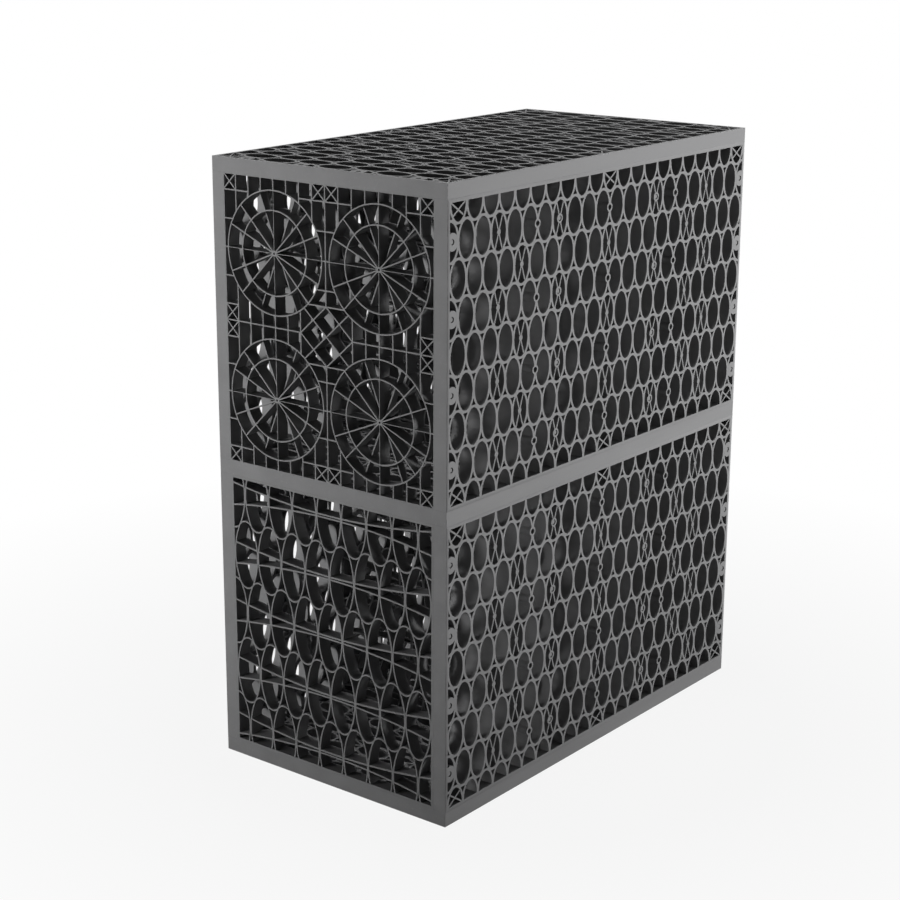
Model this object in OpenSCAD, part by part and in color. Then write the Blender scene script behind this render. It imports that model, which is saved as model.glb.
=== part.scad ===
// Soakaway crate: fifteen lattice plates clipped together into a block of two storeys.
// X runs across the crate, Y along it and Z up. The origin is the middle of its base.

/* [Plates] */
// Length of a large plate, which is the crate's length
plate_length = 715; // [600:5:900]
// Width of a large plate: the crate's width, and the clear height of a storey
plate_width = 400; // [340:5:480]
// Depth of every plate, face to face
plate_depth = 20; // [14:1:28]
// Solid border round a large plate
large_rim = 5; // [3:0.5:8]
// Solid border round an arched plate
arched_rim = 4; // [3:0.5:8]
// Solid border round the pipe plate
pipe_rim = 1.5; // [1:0.25:4]

/* [Oval grid of the large plates] */
// Plastic between two neighbouring openings in a row
oval_web = 4.4; // [3:0.2:8]
// How much taller an opening is than the spacing of the rows
oval_tip_lap = 1.1; // [0.2:0.1:3]
// How far the end arcs of an oval run past the arcs of its sides
arc_lap = 0.15; // [0.05:0.05:0.3]
// Width of the bars of an X inside an opening
cross_bar = 2.2; // [1.5:0.1:4]
// Diameter of the solid boss where the bars of a plain X meet
cross_boss_d = 6.4; // [4:0.2:9]
// Distance from the border to where the bars of an edge X meet
edge_cross_depth = 10; // [7:0.5:13]

/* [Pegs and sockets] */
// Diameter of a peg on the edge of a small plate
peg_d = 7.2; // [5:0.1:9]
// Clearance all round a peg in its socket
peg_fit = 0.2; // [0.1:0.05:0.5]
// Distance from the tip of a long peg to the outer face of its large plate
peg_recess = 1; // [0.5:0.25:4]
// Space between the two short pegs that share a socket of the middle plate
peg_meeting_gap = 1; // [0.5:0.25:3]
// Chamfer that leads a peg into its socket
peg_chamfer = 1; // [0.5:0.25:2]
// Wall round a socket within the grid
socket_wall = 2.6; // [2:0.1:4]
// Wall of the broad ear round a socket at the end of a plate
ear_wall = 7.8; // [5:0.2:10]

/* [Arched plates] */
// Spacing of the rows of tall openings
arched_row_pitch = 86.5; // [70:0.5:100]
// Wall of one tall ring
arched_wall = 2.2; // [1.6:0.1:3.5]
// How far neighbouring rings run into each other where they touch
ring_merge = 0.5; // [0.3:0.1:1.2]
// Width of an arched rib
arch_rib = 2.2; // [1.6:0.1:3.5]
// Height of an arch above the middle line of its row, at the middle of the plate
arch_crown = 1.75; // [1.5:0.25:6]
// How far an arch climbs from the middle of the plate to its border
arch_rise = 14.5; // [5:0.5:18]

/* [Pipe plate] */
// Outer diameter of the ring that guides the cut for a large pipe
large_ring_d = 169; // [150:1:174]
// Outer diameter of the ring that guides the cut for a small pipe
small_ring_d = 116; // [60:1:130]
// Width of the ribs, rings and spokes
pipe_rib = 1.8; // [1.4:0.1:3]
// Width of the thin spokes on the upright and the level middle line of a wheel
thin_spoke = 0.8; // [0.6:0.1:1.4]
// Outer diameter of the hub at the middle of a wheel
hub_d = 8; // [6:0.5:12]
// Diameter of the bore through the hub
hub_bore_d = 3; // [2:0.5:4]
// How far the four low spokes of a wheel lie behind the face
spoke_recess = 8; // [2:0.5:12]
// Distance of the cross ribs from the middle line of a wheel
chord_offset = 38.75; // [30:0.25:50]
// Half the height of the diamond at the middle of the plate
diamond_rise = 40; // [34:0.5:46]

/* [Hidden] */
$fn = 144;
plastic = [0.46, 0.47, 0.48];

// Oval grid: openings stand in a plain count along and across the plate
cells_along = 21;
rows_across = 8;
cell_pitch = (plate_length - 2 * large_rim) / cells_along;
row_pitch = (plate_width - 2 * large_rim) / rows_across;
oval_w = cell_pitch - oval_web;
oval_h = row_pitch + oval_tip_lap;
last_cell = (cells_along - 1) / 2;
last_row = rows_across / 2;
inner_rows = [-last_row + 1 : last_row - 1];
socket_rows = [for (j = inner_rows) if (j % 2 != 0) j];
plain_rows = [for (j = inner_rows) if (j % 2 == 0) j];
cross_lean = atan2(cell_pitch / 4, row_pitch / 2);

// Columns of the grid, counted in cells from the middle of the plate
inner_plate_cell = 3.5;
plain_cross_cell = 7.5;
even_cross_cell = 6;
spare_socket_cell = 5;

// Pegs and sockets share one set of places
socket_d = peg_d + 2 * peg_fit;
socket_boss_d = socket_d + 2 * socket_wall;
end_plate_y = (plate_length - plate_depth) / 2;
inner_plate_y = inner_plate_cell * cell_pitch;
peg_places = [for (j = socket_rows) j * row_pitch];
long_peg = plate_depth - peg_recess;
short_peg = (plate_depth - peg_meeting_gap) / 2;

// Small plates fill the space between the side plates, one storey high
small_w = plate_width - 2 * plate_depth;
small_h = plate_width;
lower_z = plate_depth + small_h / 2;
middle_z = plate_depth + small_h;
upper_z = 2 * plate_depth + 1.5 * small_h;
top_z = 2 * (plate_depth + small_h);

// Arched plate
arched_columns = 8;
arched_w = small_w - 2 * arched_rim;
arched_h = small_h - 2 * arched_rim;
arched_pitch = arched_w / arched_columns;
ring_w = arched_pitch + ring_merge;
ring_h = 2 * arched_row_pitch / sqrt(3) + ring_merge;
arched_last_row = ceil(arched_h / 2 / arched_row_pitch - 0.5);
arch_radius = (pow(arched_w / 2, 2) + pow(arch_rise, 2)) / (2 * arch_rise);

// Pipe plate: a square grid with a wheel in each quarter
grid_columns = 16;
grid_pitch = small_w / grid_columns;
wheel_x = small_w / 4;
wheel_z = small_h / 4;
spoke_step = 22.5;
low_spokes = [67.5, 112.5, 247.5, 292.5];

// Radius of the two long arcs of an oval, and of the end arcs that would just touch them
function side_radius(w, h) = 0.43 * h * h / w;
function touching_radius(w, h) =
    let (side_r = side_radius(w, h), side_x = side_r - w / 2)
    (side_r * side_r - side_x * side_x - h * h / 4) / (2 * side_r - h);

// Oval of four arcs with nearly the form of an ellipse
module oval(w, h) {
    side_r = side_radius(w, h);
    side_x = side_r - w / 2;
    touching_r = touching_radius(w, h);
    end_r = touching_r + arc_lap;
    shoulder = side_r * sin(atan2(h / 2 - touching_r, side_x));
    intersection() {
        translate([side_x, 0]) circle(side_r);
        translate([-side_x, 0]) circle(side_r);
        union() {
            square([2 * w, 2 * shoulder], center = true);
            for (side = [-1, 1]) translate([0, side * (h / 2 - end_r)]) circle(end_r);
        }
    }
}

// Straight bar of a given width from one point to another
module bar(from, to, width) {
    run = to - from;
    translate(from) rotate(atan2(run[1], run[0])) translate([0, -width / 2]) square([norm(run), width]);
}

// The two bars of an X that leads to the corners of a grid opening
module cross_bars() {
    for (side = [-1, 1]) rotate(side * cross_lean) square([cross_bar, 2 * oval_h], center = true);
}

// One opening of the grid, with the X, boss or part of a socket that stands in it
module grid_opening(crossed = false, boss_d = 0, spare = false) {
    difference() {
        oval(oval_w, oval_h);
        if (crossed) cross_bars();
        if (boss_d > 0) circle(d = boss_d);
        if (spare) for (side = [-1, 1]) translate([side * cell_pitch / 2, 0]) circle(d = socket_boss_d);
    }
}

// Openings of a row that has no sockets, with an X at three of its cells
module plain_row() {
    for (cell = [-last_cell : last_cell]) {
        crossed = cell == 0 || abs(cell) == even_cross_cell;
        translate([cell * cell_pitch, 0]) grid_opening(crossed, crossed ? cross_boss_d : 0);
    }
}

// Openings of a row with sockets: plain X, X round a socket, and cells beside a spare socket
module socket_row() {
    for (cell = [-last_cell + 0.5 : last_cell - 0.5]) {
        ringed = abs(cell) == inner_plate_cell;
        crossed = ringed || abs(cell) == plain_cross_cell;
        spare = abs(cell) == 0.5 || abs(abs(cell) - spare_socket_cell) == 0.5;
        boss_d = ringed ? socket_boss_d : crossed ? cross_boss_d : 0;
        translate([cell * cell_pitch, 0]) grid_opening(crossed, boss_d, spare);
    }
    for (side = [-1, 1]) difference() {
        translate([side * (last_cell + 0.5) * cell_pitch, 0]) oval(oval_w, oval_h);
        translate([side * end_plate_y, 0]) circle(d = socket_d + 2 * ear_wall);
    }
}

// Half openings along the border, with a shallow X at the middle and at both ends
module border_row() {
    for (cell = [-last_cell : last_cell]) translate([cell * cell_pitch, 0]) difference() {
        oval(oval_w, oval_h);
        if (cell == 0 || abs(cell) == last_cell)
            for (side = [-1, 1])
                bar([-side * oval_w, edge_cross_depth], [side * oval_w, -3 * edge_cross_depth], cross_bar);
    }
}

// Large plate, lying flat with its length along X and its lower face at Z = 0
module large_plate() {
    clear = [plate_length - 2 * large_rim, plate_width - 2 * large_rim];
    linear_extrude(plate_depth) difference() {
        square([plate_length, plate_width], center = true);
        for (j = plain_rows) translate([0, j * row_pitch]) plain_row();
        intersection() {
            square(clear, center = true);
            union() {
                for (j = socket_rows) translate([0, j * row_pitch]) socket_row();
                translate([0, last_row * row_pitch]) border_row();
                translate([0, -last_row * row_pitch]) mirror([0, 1]) border_row();
            }
        }
        for (v = peg_places) for (u = [0, spare_socket_cell * cell_pitch, inner_plate_y, end_plate_y])
            for (side = u == 0 ? [1] : [-1, 1]) translate([side * u, v]) circle(d = socket_d);
    }
}

// One peg along +Z, rooted in the border of its plate
module peg(root, length) {
    translate([0, 0, -root]) cylinder(d = peg_d, h = root + length - peg_chamfer);
    translate([0, 0, length - peg_chamfer])
        cylinder(d1 = peg_d, d2 = peg_d - 2 * peg_chamfer, h = peg_chamfer);
}

// Pegs on all four edges: long ones, and short ones on the edge that faces the middle plate
module pegs(rim) {
    translate([0, 0, plate_depth / 2]) for (place = peg_places) {
        for (side = [-1, 1]) translate([side * small_w / 2, place, 0]) rotate([0, side * 90, 0]) peg(rim, long_peg);
        translate([place, -small_h / 2, 0]) rotate([90, 0, 0]) peg(rim, long_peg);
        translate([place, small_h / 2, 0]) rotate([-90, 0, 0]) peg(rim, short_peg);
    }
}

// Three-cornered gap above the point where two rings of a row touch, under the end of a ring of the next row
module ring_gap() {
    side_r = side_radius(ring_w, ring_h);
    end_r = touching_radius(ring_w, ring_h) + arc_lap;
    difference() {
        translate([-ring_w / 2, 0]) square([ring_w, arched_row_pitch / 2]);
        for (side = [-1, 1]) translate([side * (side_r - ring_merge / 2), 0]) circle(side_r);
        translate([0, arched_row_pitch - ring_h / 2 + end_r]) circle(end_r);
    }
}

// One row of tall openings, crossed by the two arches that bow towards its middle line
module arched_row(last_ring) {
    difference() {
        for (i = [-last_ring : last_ring]) translate([i * arched_pitch, 0])
            oval(ring_w - 2 * arched_wall, ring_h - 2 * arched_wall);
        for (side = [-1, 1]) translate([0, side * (arch_crown + arch_radius)]) difference() {
            circle(arch_radius + arch_rib / 2, $fn = 720);
            circle(arch_radius - arch_rib / 2, $fn = 720);
        }
    }
}

// Arched plate, standing in the XY plane with its back face at Z = 0
module arched_plate() {
    linear_extrude(plate_depth) difference() {
        square([small_w, small_h], center = true);
        intersection() {
            square([arched_w, arched_h], center = true);
            for (row = [-arched_last_row : arched_last_row]) translate([0, row * arched_row_pitch]) {
                whole = arched_columns / 2;
                arched_row(row % 2 == 0 ? whole : whole - 0.5);
                last_touch = row % 2 == 0 ? whole - 0.5 : whole;
                for (i = [-last_touch : last_touch]) for (turn = [0, 180])
                    translate([i * arched_pitch, 0]) rotate(turn) ring_gap();
            }
        }
    }
    pegs(arched_rim);
}

// A square of the grid braced by an X, from its lower left corner
module braced_square(corner) {
    bar(corner, corner + [grid_pitch, grid_pitch], pipe_rib);
    bar(corner + [grid_pitch, 0], corner + [0, grid_pitch], pipe_rib);
}

// Ribs of one quarter of the pipe plate, with the plate's middle at the origin
module quarter_ribs() {
    edge_x = small_w / 2;
    edge_z = small_h / 2;
    for (i = [1 : 7]) bar([i * grid_pitch, wheel_z], [i * grid_pitch, edge_z], pipe_rib);
    for (i = [2 : 7]) bar([i * grid_pitch, 0], [i * grid_pitch, wheel_z], pipe_rib);
    for (z = [wheel_z - chord_offset, wheel_z, wheel_z + chord_offset]) bar([0, z], [edge_x, z], pipe_rib);
    bar([0, edge_z - grid_pitch], [2 * grid_pitch, edge_z - grid_pitch], pipe_rib);
    bar([6 * grid_pitch, edge_z - grid_pitch], [edge_x, edge_z - grid_pitch], pipe_rib);
    bar([7 * grid_pitch, grid_pitch], [edge_x, grid_pitch], pipe_rib);
    bar([0, diamond_rise], [wheel_x, diamond_rise], pipe_rib);
    bar([0, diamond_rise], [2 * grid_pitch, 0], pipe_rib);
    bar([0, 0], [2 * grid_pitch, diamond_rise], pipe_rib);
    braced_square([0, edge_z - grid_pitch]);
    braced_square([7 * grid_pitch, edge_z - grid_pitch]);
    braced_square([7 * grid_pitch, 0]);
}

// All ribs outside the wheels
module grid_ribs() {
    difference() {
        union() {
            for (x = [0, 1]) for (z = [0, 1]) mirror([x, 0]) mirror([0, z]) quarter_ribs();
            for (side = [-1, 1]) {
                bar([0, side * diamond_rise], [0, side * small_h / 2], pipe_rib);
                bar([side * 2 * grid_pitch, 0], [side * small_w / 2, 0], pipe_rib);
            }
        }
        at_wheels() circle(d = large_ring_d - pipe_rib);
    }
}

// Repeats a shape at the middle of each wheel
module at_wheels() {
    for (x = [-1, 1]) for (z = [-1, 1]) translate([x * wheel_x, z * wheel_z]) children();
}

module ring(outer_d) {
    difference() {
        circle(d = outer_d);
        circle(d = outer_d - 2 * pipe_rib);
    }
}

// Spoke of a wheel, from the wall of its hub into the large ring
module spoke(angle, width = pipe_rib) {
    rotate(angle) bar([(hub_d + hub_bore_d) / 4, 0], [(large_ring_d - pipe_rib) / 2, 0], width);
}

// Two cutting rings, a bored hub and the spokes that reach the face
module wheel() {
    ring(large_ring_d);
    ring(small_ring_d);
    difference() {
        circle(d = hub_d);
        circle(d = hub_bore_d);
    }
    for (angle = [0 : spoke_step : 360 - spoke_step])
        if (len(search(angle, low_spokes)) == 0) spoke(angle, angle % 90 == 0 ? thin_spoke : pipe_rib);
}

// Pipe plate, standing in the XY plane with its back face at Z = 0
module pipe_plate() {
    linear_extrude(plate_depth) {
        difference() {
            square([small_w, small_h], center = true);
            square([small_w - 2 * pipe_rim, small_h - 2 * pipe_rim], center = true);
        }
        intersection() {
            square([small_w - pipe_rim, small_h - pipe_rim], center = true);
            grid_ribs();
        }
        at_wheels() wheel();
    }
    linear_extrude(plate_depth - spoke_recess) at_wheels() for (angle = low_spokes) spoke(angle);
    pegs(pipe_rim);
}

// Places a large plate flat, with its lower face at height z
module lay_flat(z) {
    color(plastic) translate([0, 0, z]) rotate([0, 0, 90]) large_plate();
}

// Places a large plate on edge, at the left (-1) or right (1) of the storey whose middle is at height z
module stand_at_side(side, z) {
    color(plastic) translate([side * (plate_width - plate_depth) / 2 - plate_depth / 2, 0, z])
        rotate([90, 0, 90]) large_plate();
}

// Places a small plate across the crate at y, with its short pegs towards the middle plate
module stand_across(y, z) {
    color(plastic) translate([0, y + plate_depth / 2, z]) rotate([90, 0, 0])
        rotate(z > middle_z ? 180 : 0) children();
}

module bottom_plate() lay_flat(0);
module middle_plate() lay_flat(middle_z);
module top_plate() lay_flat(top_z);
module lower_left_side_plate() stand_at_side(-1, lower_z);
module lower_right_side_plate() stand_at_side(1, lower_z);
module upper_left_side_plate() stand_at_side(-1, upper_z);
module upper_right_side_plate() stand_at_side(1, upper_z);
module lower_front_end_plate() stand_across(-end_plate_y, lower_z) arched_plate();
module lower_front_inner_plate() stand_across(-inner_plate_y, lower_z) arched_plate();
module lower_back_inner_plate() stand_across(inner_plate_y, lower_z) arched_plate();
module lower_back_end_plate() stand_across(end_plate_y, lower_z) arched_plate();
module upper_front_end_plate() stand_across(-end_plate_y, upper_z) pipe_plate();
module upper_front_inner_plate() stand_across(-inner_plate_y, upper_z) arched_plate();
module upper_back_inner_plate() stand_across(inner_plate_y, upper_z) arched_plate();
module upper_back_end_plate() stand_across(end_plate_y, upper_z) arched_plate();

bottom_plate();
middle_plate();
top_plate();
lower_left_side_plate();
lower_right_side_plate();
upper_left_side_plate();
upper_right_side_plate();
lower_front_end_plate();
lower_front_inner_plate();
lower_back_inner_plate();
lower_back_end_plate();
upper_front_end_plate();
upper_front_inner_plate();
upper_back_inner_plate();
upper_back_end_plate();
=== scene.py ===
import math
import bpy
import numpy as np
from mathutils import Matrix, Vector


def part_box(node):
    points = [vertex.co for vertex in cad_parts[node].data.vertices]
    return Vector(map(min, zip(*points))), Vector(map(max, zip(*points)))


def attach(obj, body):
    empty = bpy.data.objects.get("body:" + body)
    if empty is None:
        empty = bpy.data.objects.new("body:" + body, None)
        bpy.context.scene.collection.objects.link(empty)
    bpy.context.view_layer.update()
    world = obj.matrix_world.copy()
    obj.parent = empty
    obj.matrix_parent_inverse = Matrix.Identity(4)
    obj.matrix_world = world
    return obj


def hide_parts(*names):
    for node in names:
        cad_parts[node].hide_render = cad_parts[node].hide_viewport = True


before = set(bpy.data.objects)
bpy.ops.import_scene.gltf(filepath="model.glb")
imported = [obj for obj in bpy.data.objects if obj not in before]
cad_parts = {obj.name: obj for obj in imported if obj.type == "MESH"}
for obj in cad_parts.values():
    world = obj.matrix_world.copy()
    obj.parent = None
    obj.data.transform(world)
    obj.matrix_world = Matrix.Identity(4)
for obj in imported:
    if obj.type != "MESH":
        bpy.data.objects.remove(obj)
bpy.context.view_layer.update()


# Camera: a long lens at chest height, looking down a little on the corner between the pipe end and a
# long side. A small shift puts the crate where the photograph frames it.
look_down = 15.875
turned_left = 38.923
view = bpy.data.cameras.new("crate_view")
view.sensor_width = 36.0
view.lens = 79.895
view.shift_x = 0.03661
view.shift_y = -0.00717
camera = bpy.data.objects.new("crate_view", view)
camera.location = (1.69040, -2.26228, 1.21934)
camera.rotation_euler = (math.radians(90.0 - look_down), 0.0, math.radians(turned_left))
bpy.context.scene.collection.objects.link(camera)
bpy.context.scene.camera = camera
bpy.context.scene.view_settings.view_transform = "Standard"


# Studio floor: a broad sheet of paper under the crate, which shows as white far off. Near the crate's
# foot the white fades to a light grey, which is painted shade, and a tenth of the paper's own shading
# shows through there with the crate's real shadow. The paper's own colour is a dark grey, so that it
# throws little light up into the crate.
floor_half = 9.0
floor_drop = 0.0004
paper_grey = 0.10
near_crate, far_from_crate = 0.45, 1.30
glow_under_painted_shade, far_glow = 0.90, 1.0


def combined(tree, operation, first, second):
    """One value made of two, by the named operation of a Math node."""
    node = tree.nodes.new("ShaderNodeMath")
    node.operation = operation
    tree.links.new(first, node.inputs[0])
    tree.links.new(second, node.inputs[1])
    return node.outputs[0]


def stretched(tree, value, low, high, new_low, new_high):
    """A value carried from one range to another: low becomes new_low, high becomes new_high, and what
    lies between keeps its share of the way."""
    node = tree.nodes.new("ShaderNodeMapRange")
    node.inputs["From Min"].default_value = low
    node.inputs["From Max"].default_value = high
    node.inputs["To Min"].default_value = new_low
    node.inputs["To Max"].default_value = new_high
    tree.links.new(value, node.inputs["Value"])
    return node.outputs[0]


def looked_at(tree):
    """One for a ray from the camera, off a glossy surface or through a clear one, and nought for the
    rays that gather light: the largest of three flags."""
    ray = tree.nodes.new("ShaderNodeLightPath")
    seen = combined(tree, "MAXIMUM", ray.outputs["Is Camera Ray"], ray.outputs["Is Glossy Ray"])
    return combined(tree, "MAXIMUM", seen, ray.outputs["Is Transmission Ray"])


floor_mesh = bpy.data.meshes.new("studio_floor")
floor_corners = floor_half * np.array([[-1, -1, 0], [1, -1, 0], [1, 1, 0], [-1, 1, 0]])
floor_mesh.from_pydata((floor_corners - [0.0, 0.0, floor_drop]).tolist(), [], [[0, 1, 2, 3]])
floor = bpy.data.objects.new("studio_floor", floor_mesh)
bpy.context.scene.collection.objects.link(floor)
paper = bpy.data.materials.new("pale_paper")
paper.use_nodes = True
paper_tree = paper.node_tree
paper_surface = paper_tree.nodes["Principled BSDF"]
paper_surface.inputs["Base Color"].default_value = (paper_grey, paper_grey, paper_grey, 1.0)
paper_surface.inputs["Roughness"].default_value = 0.9
paper_glow = paper_tree.nodes.new("ShaderNodeEmission")
paper_glow.inputs["Strength"].default_value = 1.0
paper_place = paper_tree.nodes.new("ShaderNodeTexCoord")
from_crate = paper_tree.nodes.new("ShaderNodeVectorMath")
from_crate.operation = "LENGTH"
paper_tree.links.new(paper_place.outputs["Object"], from_crate.inputs[0])
away = from_crate.outputs["Value"]
# The glow falls from full white far off to nine tenths near the crate: painted shade round its foot.
glow_with_painted_shade = stretched(paper_tree, away, near_crate, far_from_crate, glow_under_painted_shade, far_glow)
glow_share = combined(paper_tree, "MULTIPLY", looked_at(paper_tree), glow_with_painted_shade)
paper_mix = paper_tree.nodes.new("ShaderNodeMixShader")
paper_tree.links.new(glow_share, paper_mix.inputs[0])
paper_tree.links.new(paper_surface.outputs[0], paper_mix.inputs[1])
paper_tree.links.new(paper_glow.outputs[0], paper_mix.inputs[2])
paper_tree.links.new(paper_mix.outputs[0], paper_tree.nodes["Material Output"].inputs["Surface"])
floor_mesh.materials.append(paper)


# Studio light: a round lamp off the left front corner, another off the right back corner and one
# overhead. Each corner lamp is turned off centre, so that its light fades along the sides and towards
# the floor. The white surround lights the plastic only faintly, and mostly from above.
faint_light = 0.004
faint_light_above = 0.03
above_starts, straight_up = 0.2, 1.0
surround = bpy.data.worlds.new("white_surround")
surround.use_nodes = True
bpy.context.scene.world = surround
surround_tree = surround.node_tree
surround_light = surround_tree.nodes["Background"]
surround_light.inputs["Color"].default_value = (1.0, 1.0, 1.0, 1.0)
surround_place = surround_tree.nodes.new("ShaderNodeTexCoord")
surround_axes = surround_tree.nodes.new("ShaderNodeSeparateXYZ")
surround_tree.links.new(surround_place.outputs["Generated"], surround_axes.inputs[0])
upward = surround_axes.outputs["Z"]
faint = stretched(surround_tree, upward, above_starts, straight_up, faint_light, faint_light_above)
surround_level = combined(surround_tree, "MAXIMUM", looked_at(surround_tree), faint)
surround_tree.links.new(surround_level, surround_light.inputs["Strength"])
# A row holds a lamp's name, its radius, its place, the point it faces, half its cone in degrees and watts.
lamps = (
    ("left_front_lamp", 0.6, (-2.475, -2.832, 0.45), (-0.81, -0.36, 0.86), 27.2, 885.0),
    ("right_back_lamp", 0.4, (5.235, 6.217, 0.42), (0.20, 0.52, 0.83), 9.80, 5800.0),
    ("overhead_lamp", 1.0, (0.0, 0.0, 7.0), (0.0, 0.0, 0.86), 16.0, 1900.0),
)
for name, radius, place, target, half_cone, watts in lamps:
    lamp = bpy.data.lights.new(name, "SPOT")
    lamp.energy = watts
    lamp.shadow_soft_size = radius
    lamp.spot_size = math.radians(2 * half_cone)
    lamp.spot_blend = 1.0
    far_lamp = bpy.data.objects.new(name, lamp)
    aim = Vector(target) - Vector(place)
    far_lamp.location = place
    far_lamp.rotation_euler = aim.to_track_quat("-Z", "Y").to_euler()
    bpy.context.scene.collection.objects.link(far_lamp)


# Grid plates: the floor, middle deck, lid and four long sides of the crate, one pattern for all seven.
# Each is a single moulding of grey polypropylene, oval rings melted into each other with small gaps
# left between them, and it is held by the pegs that push into its round sockets.
mm = 0.001
cells_along = 21
rows_across = 8
rim = 5.0 * mm
rim_chamfer = 0.12 * mm
corner_cut = 0.1 * mm
opening_web = 4.4 * mm
opening_tip_lap = 1.1 * mm
gap_half_width = 4.6 * mm
gap_drop = 5.0 * mm
gap_bulge = 0.35 * mm
gap_steps = (1, 2, 5, 6, 9, 10)
ring_tip_wall = 3.0 * mm
bore_r = 3.8 * mm
bore_pull = (1, 1, 1, 1, 1, 0.97, 0.9999)
bore_margin = 0.004
socket_r = 6.4 * mm
socket_columns = np.array([-5, 0, 5])
ear_r = 11.6 * mm
ear_set_in = 5.0 * mm
cross_bar = 2.2 * mm
cross_boss_r = 3.8 * mm
boss_pinhole_r = 0.25 * mm
boss_sunk = 0.2 * mm
cross_sunk = 0.4 * mm
cross_sunk_step = 0.1 * mm
arm_from_boss = 0.06
arm_from_socket = 0.2
arm_to_wall = 0.985
odd_row_crosses = (-7.5, 7.5)
even_row_crosses = (-6, 0, 6)
socket_cross_columns = (-3.5, 3.5)
edge_cross_columns = (-10, 0, 10)
edge_cross_depth = 10.0 * mm
edge_cross_reach = 11.5 * mm
weld_step = 0.002 * mm
out_of_reach = 1.0
sharp_edge = math.radians(40.0)
grid_node_names = (
    "bottom_plate",
    "middle_plate",
    "top_plate",
    "lower_left_side_plate",
    "lower_right_side_plate",
    "upper_left_side_plate",
    "upper_right_side_plate",
)


def sheet_faces(rows, steps, closed):
    """Faces of a tube of points numbered row by row: a point, its place in the next row, and both one
    step on. Rows always come round to the first; steps do so only on a closed path."""
    row = np.arange(rows)[:, None]
    step = np.arange(steps if closed else steps - 1)[None, :]
    above = (row + 1) % rows
    ahead = (step + 1) % steps
    corners = [row * steps + step, above * steps + step, above * steps + ahead, row * steps + ahead]
    return np.stack(np.broadcast_arrays(*corners), axis=-1)


def band(curves, low, high, closed=True):
    """A square profile carried along a path: at each step its four corners are the inner curve at the
    low and high face and the outer curve at the high and low face. Outer walls stand only on the
    steps marked free, because elsewhere the band runs into its neighbour."""
    inner, outer, free = curves
    edges = ((inner, low), (inner, high), (outer, high), (outer, low))
    rows = [np.column_stack([curve, np.full(len(curve), height)]) for curve, height in edges]
    faces = sheet_faces(len(edges), len(inner), closed)
    kept = np.ones(faces.shape[:2], bool)
    outer_wall = 2
    kept[outer_wall] = free
    return np.concatenate(rows), faces[kept]


def copies(shape, centres):
    """One small shape moved to each centre, its face numbers raised by the points before it."""
    points, faces = shape
    lifted = np.column_stack([centres, np.zeros(len(centres))])
    moved = lifted[:, None, :] + points[None, :, :]
    numbers = faces[None] + (np.arange(len(centres)) * len(points))[:, None, None]
    return moved.reshape(-1, 3), numbers.reshape(-1, 4)


def joined(shapes):
    """All shapes in one list of points, with points that fall together made one."""
    starts = np.cumsum([0] + [len(points) for points, faces in shapes])
    points = np.concatenate([shape[0] for shape in shapes])
    faces = np.concatenate([shape[1] + start for shape, start in zip(shapes, starts)])
    rounded = np.round(points / weld_step)
    first, number = np.unique(rounded, axis=0, return_index=True, return_inverse=True)[1:]
    return points[first], number.reshape(-1)[faces]


def even_rays(steps):
    """Unit rays at even turns round a point: the cosine and the sine of each angle."""
    turn = np.radians(np.arange(steps) * 360.0 / steps)
    return np.column_stack([np.cos(turn), np.sin(turn)])


def mirrored(curves):
    """The same curves with left and right changed over, run backwards so that their faces still point
    outwards. Each free mark moves with its step."""
    inner, outer, free = curves
    return inner[::-1] * [-1, 1], outer[::-1] * [-1, 1], np.roll(free[::-1], -1)


def opening_radii(pitch, row):
    """Half the width and half the height of an oval opening: it leaves a web to the opening beside it,
    and its tips reach a little past the row."""
    return (pitch - opening_web) / 2, (row + opening_tip_lap) / 2


def grid_ring(pitch, row):
    """Two curves of 24 points round one cell. The inner one is the ellipse of the opening at even
    turns. The outer one follows the six-sided cell where rings meet, and leaves it at the corners,
    along the sides of a small three-cornered gap. A quarter is written and mirrored twice."""
    a, b = opening_radii(pitch, row)
    half, third = pitch / 2, row / 3
    slope = third / half
    rise = gap_half_width * slope
    quarter = np.array([
        [half, 0.0],
        [half, third - gap_drop],
        [half - gap_half_width / 2 + gap_bulge, third + (rise - gap_drop) / 2 + gap_bulge],
        [half - gap_half_width, third + rise],
        [half / 2, 1.5 * third],
        [gap_half_width, 2 * third - rise],
        [0.0, b + ring_tip_wall],
    ])
    upper = np.concatenate([quarter, quarter[5::-1] * [-1, 1]])
    outer = np.concatenate([upper, upper[11:0:-1] * [1, -1]])
    free = np.isin(np.arange(24) % 12, gap_steps)
    return even_rays(24) * [a, b], outer, free


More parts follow.
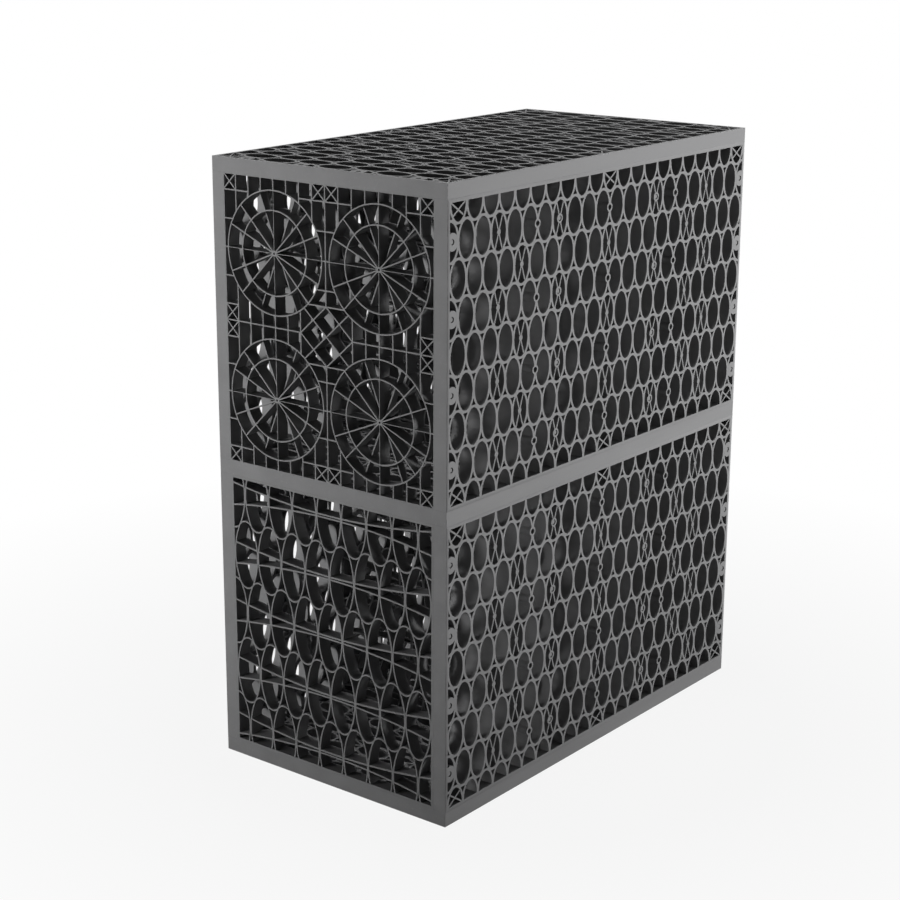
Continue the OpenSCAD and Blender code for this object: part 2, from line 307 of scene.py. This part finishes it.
def socket_ring(pitch, row):
    """A cell with a spare socket at its right. Within a fan of angles towards the socket the opening
    stops at the socket's outer circle, and the plastic stops at its bore: each is the nearer root of
    a circle met by a ray from the middle of the cell. The last rays of the bore are pulled in to meet it."""
    inner, outer, free = grid_ring(pitch, row)
    a, b = opening_radii(pitch, row)
    half = pitch / 2
    fan_edge = math.atan2(outer[1, 1], outer[1, 0])
    bore_edge = math.asin(bore_r / half)
    socket_edge = math.asin(socket_r / half)
    past_bore = bore_edge + bore_margin
    steps = np.concatenate([
        np.linspace(0.0, bore_edge, len(bore_pull)) * bore_pull,
        np.linspace(past_bore, socket_edge, 6),
        [(socket_edge + fan_edge) / 2, fan_edge],
    ])
    angle = np.concatenate([-steps[:0:-1], steps])
    ray = np.column_stack([np.cos(angle), np.sin(angle)])
    offset = half * ray[:, 1]

    def to_circle(radius):
        """The way along each ray to the near side of a circle round the middle of the socket."""
        room = np.sqrt(np.maximum(radius**2 - offset**2, 0.0))
        return np.where(np.abs(offset) < radius, half * ray[:, 0] - room, out_of_reach)

    to_opening = 1 / np.hypot(ray[:, 0] / a, ray[:, 1] / b)
    near = np.minimum(to_opening, to_circle(socket_r))
    far = np.minimum(half / ray[:, 0], to_circle(bore_r))
    bored = np.abs(angle[1:] + angle[:-1]) / 2 < past_bore
    # The fan takes the place of the plain ring's first point and the one on either side of it.
    inner = np.concatenate([near[:, None] * ray, inner[2:23]])
    outer = np.concatenate([far[:, None] * ray, outer[2:23]])
    return inner, outer, np.concatenate([bored, free[1:23]])


def ear(pitch, row):
    """The broad ear at the right end of a row. A ray from its bore reaches the nearest of three: the
    ear's own circle, the border of the plate, and the ellipse of the half opening that the ear stands
    in, which is the larger root of a quadratic in the length of the ray."""
    a, b = opening_radii(pitch, row)
    ray = even_rays(40)
    least_cosine = 0.05
    to_border = ear_set_in / np.maximum(ray[:, 0], least_cosine)
    p = (ray[:, 0] / a) ** 2 + (ray[:, 1] / b) ** 2
    q = -ear_set_in * ray[:, 0] / a**2
    to_opening = (-q + np.sqrt(q**2 - p * ((ear_set_in / a) ** 2 - 1))) / p
    reach = np.minimum(np.minimum(to_border, to_opening), ear_r)
    free = (reach >= ear_r) | (np.roll(reach, -1) >= ear_r)
    return bore_r * ray, reach[:, None] * ray, free


def straight(start, end):
    """The two long edges of a bar of an X: its ends moved half the bar's width to either hand."""
    line = np.array([start, end])
    along = (line[1] - line[0]) / np.linalg.norm(line[1] - line[0])
    aside = cross_bar / 2 * np.array([-along[1], along[0]])
    return line + aside, line - aside, True


def border(length, width, depth):
    """The rim round a plate: a profile of six corners, two of its edges broken, carried round eight
    points, two at each corner of the plate. The corner is cut twice as far outside as inside."""
    profile = np.array([
        [0.0, 0.0],
        [0.0, depth],
        [rim - rim_chamfer, depth],
        [rim, depth - rim_chamfer],
        [rim, rim_chamfer],
        [rim - rim_chamfer, 0.0],
    ])
    signs = np.repeat([[1, -1], [1, 1], [-1, 1], [-1, -1]], 2, axis=0)
    cut_along = np.tile([[1, 0], [0, 1], [0, 1], [1, 0]], (2, 1))
    clear = np.array([length / 2 - rim, width / 2 - rim])
    out = profile[:, :1, None]
    outline = signs * (clear + out - corner_cut * (1 + out / rim) * cut_along)
    tall = np.broadcast_to(profile[:, 1:, None], outline.shape[:2] + (1,))
    points = np.concatenate([outline, tall], axis=-1).reshape(-1, 3)
    return points, sheet_faces(len(profile), len(signs), True).reshape(-1, 4)


def grid_plate(length, width, depth):
    """A whole plate, length along the first axis and width along the second, its back face at zero.
    Columns and rows are counted in cells from the middle, and odd rows stand half a cell aside."""
    pitch = (length - 2 * rim) / cells_along
    row = (width - 2 * rim) / rows_across
    end_column = cells_along / 2
    edge_row = rows_across // 2
    columns = np.arange(0.5 - end_column, end_column)
    columns_aside = np.arange(1.0 - end_column, end_column)
    even_rows = np.arange(2 - edge_row, edge_row, 2)
    odd_rows = np.arange(1 - edge_row, edge_row, 2)
    ring = grid_ring(pitch, row)
    socket_at_right = socket_ring(pitch, row)
    right_ear = ear(pitch, row)

    def places(columns, rows):
        """The middle of each cell where one of the columns crosses one of the rows."""
        grid = np.stack(np.meshgrid(np.asarray(columns) * pitch, np.asarray(rows) * row), axis=-1)
        return grid.reshape(-1, 2)

    def half_ring(first):
        """Thirteen of a ring's 24 points, which is half way round from the first one."""
        inner, outer, free = ring
        part = (first + np.arange(13)) % 24
        return inner[part], outer[part], free[part[:-1]]

    left_of_socket, right_of_socket = socket_columns - 0.5, socket_columns + 0.5
    beside_socket = np.isin(columns_aside, [left_of_socket, right_of_socket])
    whole_rings = (
        (ring, places(columns, even_rows)),
        (ring, places(columns_aside[~beside_socket], odd_rows)),
        (socket_at_right, places(left_of_socket, odd_rows)),
        (mirrored(socket_at_right), places(right_of_socket, odd_rows)),
    )
    half_rings = (
        (half_ring(0), places(columns, [-edge_row])),
        (half_ring(12), places(columns, [edge_row])),
        (half_ring(6), places([end_column], odd_rows)),
        (half_ring(18), places([-end_column], odd_rows)),
    )
    ears = (
        (right_ear, places([end_column], odd_rows) - [ear_set_in, 0.0]),
        (mirrored(right_ear), places([-end_column], odd_rows) + [ear_set_in, 0.0]),
    )
    shapes = [copies(band(curves, 0.0, depth), spots) for curves, spots in whole_rings]
    shapes += [copies(band(curves, 0.0, depth, closed=False), spots) for curves, spots in half_rings]
    shapes += [copies(band(curves, 0.0, depth), spots) for curves, spots in ears]

    plain_crosses = np.concatenate([places(odd_row_crosses, odd_rows), places(even_row_crosses, even_rows)])
    socket_crosses = places(socket_cross_columns, odd_rows)
    circle = even_rays(20)
    boss = (boss_pinhole_r * circle, cross_boss_r * circle, True)
    tube = (bore_r * circle, socket_r * circle, True)
    for curves, spots in ((boss, plain_crosses), (tube, socket_crosses)):
        shapes.append(copies(band(curves, boss_sunk, depth - boss_sunk), spots))
    for number, signs in enumerate(((1, 1), (-1, 1), (-1, -1), (1, -1))):
        wall = np.array([pitch / 4, row / 2]) * signs
        sunk = cross_sunk + cross_sunk_step * (number % 2)
        for start, spots in ((arm_from_boss, plain_crosses), (arm_from_socket, socket_crosses)):
            arm = straight(start * wall, arm_to_wall * wall)
            shapes.append(copies(band(arm, sunk, depth - sunk, closed=False), spots))
    half_opening = opening_radii(pitch, row)[0]
    fall = edge_cross_depth + edge_cross_depth / half_opening * edge_cross_reach
    for side in (-1, 1):
        sunk = cross_sunk + cross_sunk_step * (side > 0)
        for edge in (-1, 1):
            arm = straight([-side * half_opening, 0.0], [side * edge_cross_reach, -edge * fall])
            spots = places(edge_cross_columns, [edge * edge_row])
            shapes.append(copies(band(arm, sunk, depth - sunk, closed=False), spots))
    shapes.append(border(length, width, depth))
    return joined(shapes)


def moulded_finish():
    """Node group for moulded plastic. Broad noise drawn out along the plate gives the flow marks, fine
    noise gives the grain left by the mould, and a threshold of mid noise gives pale specks."""
    speck_scale = 340.0
    speck_strength = 0.22
    speck_colour = (0.25, 0.25, 0.25, 1.0)
    group = bpy.data.node_groups.new("moulded_finish", "ShaderNodeTree")
    sockets = (
        ("Position", "INPUT", "NodeSocketVector"),
        ("Flow", "INPUT", "NodeSocketVector"),
        ("Dark", "INPUT", "NodeSocketColor"),
        ("Pale", "INPUT", "NodeSocketColor"),
        ("Grain", "INPUT", "NodeSocketFloat"),
        ("Colour", "OUTPUT", "NodeSocketColor"),
        ("Roughness", "OUTPUT", "NodeSocketFloat"),
        ("Height", "OUTPUT", "NodeSocketFloat"),
    )
    for socket, direction, kind in sockets:
        group.interface.new_socket(socket, in_out=direction, socket_type=kind)
    nodes, links = group.nodes, group.links
    given = nodes.new("NodeGroupInput")
    result = nodes.new("NodeGroupOutput")

    def noise(place, detail):
        """Noise over a place, in as many finer layers as the detail says."""
        texture = nodes.new("ShaderNodeTexNoise")
        texture.inputs["Detail"].default_value = detail
        links.new(place, texture.inputs["Vector"])
        return texture

    def mixed(share, first):
        """A colour with a share of a second one over it, which the caller puts in."""
        mix = nodes.new("ShaderNodeMix")
        mix.data_type = "RGBA"
        links.new(share, mix.inputs["Factor"])
        links.new(first, mix.inputs["A"])
        return mix

    drawn = nodes.new("ShaderNodeVectorMath")
    drawn.operation = "MULTIPLY"
    links.new(given.outputs["Position"], drawn.inputs[0])
    links.new(given.outputs["Flow"], drawn.inputs[1])
    flow = noise(drawn.outputs[0], 4.0)
    flow.inputs["Scale"].default_value = 1.0
    flow.inputs["Roughness"].default_value = 0.55
    grain = noise(given.outputs["Position"], 2.0)
    links.new(given.outputs["Grain"], grain.inputs["Scale"])
    speck = noise(given.outputs["Position"], 1.0)
    speck.inputs["Scale"].default_value = speck_scale
    tone = mixed(stretched(group, flow.outputs["Fac"], 0.32, 0.68, 0.0, 1.0), given.outputs["Dark"])
    links.new(given.outputs["Pale"], tone.inputs["B"])
    speck_mask = stretched(group, speck.outputs["Fac"], 0.66, 0.74, 0.0, speck_strength)
    specked = mixed(speck_mask, tone.outputs["Result"])
    specked.inputs["B"].default_value = speck_colour
    roughness = stretched(group, flow.outputs["Fac"], 0.3, 0.7, 0.58, 0.72)
    links.new(specked.outputs["Result"], result.inputs["Colour"])
    links.new(roughness, result.inputs["Roughness"])
    links.new(grain.outputs["Fac"], result.inputs["Height"])
    return group


def plastic(name, flow, dark, pale):
    """Matte grey plastic: the moulded finish drives colour, roughness and a fine bump. Flow gives how
    many marks there are in a metre along each axis."""
    blue_cast = 1.01
    mould_grain = 1500.0
    material = bpy.data.materials.new(name)
    material.use_nodes = True
    nodes, links = material.node_tree.nodes, material.node_tree.links
    surface = nodes["Principled BSDF"]
    surface.inputs["IOR"].default_value = 1.49
    surface.inputs["Specular IOR Level"].default_value = 0.04
    position = nodes.new("ShaderNodeTexCoord")
    finish = nodes.new("ShaderNodeGroup")
    finish.node_tree = finish_group
    finish.inputs["Flow"].default_value = flow
    finish.inputs["Dark"].default_value = (dark, dark, dark * blue_cast, 1.0)
    finish.inputs["Pale"].default_value = (pale, pale, pale * blue_cast, 1.0)
    finish.inputs["Grain"].default_value = mould_grain
    bump = nodes.new("ShaderNodeBump")
    bump.inputs["Strength"].default_value = 0.12
    bump.inputs["Distance"].default_value = 0.6 * mm
    links.new(position.outputs["Object"], finish.inputs["Position"])
    links.new(finish.outputs["Colour"], surface.inputs["Base Color"])
    links.new(finish.outputs["Roughness"], surface.inputs["Roughness"])
    links.new(finish.outputs["Height"], bump.inputs["Height"])
    links.new(bump.outputs["Normal"], surface.inputs["Normal"])
    return material


finish_group = moulded_finish()
grid_plastic = plastic("grid_plate_plastic", flow=(26.0, 5.0, 26.0), dark=0.160, pale=0.186)
low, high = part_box("bottom_plate")
grid_points, grid_faces = grid_plate(high.y - low.y, high.x - low.x, high.z - low.z)
grid_u, grid_v, grid_w = grid_points.T
for name in grid_node_names:
    low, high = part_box(name)
    if "side" in name:
        placed = np.column_stack([low.x + grid_w, grid_u, (low.z + high.z) / 2 + grid_v])
    else:
        placed = np.column_stack([-grid_v, grid_u, low.z + grid_w])
    mesh = bpy.data.meshes.new("grid_" + name)
    mesh.from_pydata(placed.tolist(), [], grid_faces.tolist())
    mesh.polygons.foreach_set("use_smooth", np.ones(len(grid_faces), bool))
    mesh.set_sharp_from_angle(angle=sharp_edge)
    mesh.materials.append(grid_plastic)
    piece = bpy.data.objects.new("grid_" + name, mesh)
    bpy.context.scene.collection.objects.link(piece)
    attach(piece, "root")
    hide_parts(name)


# Arched plates: seven small plates across the crate, tall rings crossed by arched ribs. Each is one
# moulding of grey polypropylene that carries the soil load from lid to floor, and the pegs on its four
# edges push into the sockets of the grid plates round it.
arched_plastic = plastic("arched_plate_plastic", flow=(26.0, 26.0, 7.0), dark=0.156, pale=0.182)
arched_node_names = (
    "lower_front_end_plate",
    "lower_front_inner_plate",
    "lower_back_inner_plate",
    "lower_back_end_plate",
    "upper_front_inner_plate",
    "upper_back_inner_plate",
    "upper_back_end_plate",
)
for name in arched_node_names:
    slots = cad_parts[name].data.materials
    slots.clear()
    slots.append(arched_plastic)


# Pipe plate: the end plate of the upper storey, a square grid with four spoked wheels. It is moulded in
# the same grey polypropylene and held by pegs on its four edges. A fitter cuts along one of a wheel's
# two rings to let a drain pipe in.
pipe_plastic = plastic("pipe_plate_plastic", flow=(24.0, 24.0, 9.0), dark=0.160, pale=0.186)
pipe_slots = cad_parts["upper_front_end_plate"].data.materials
pipe_slots.clear()
pipe_slots.append(pipe_plastic)
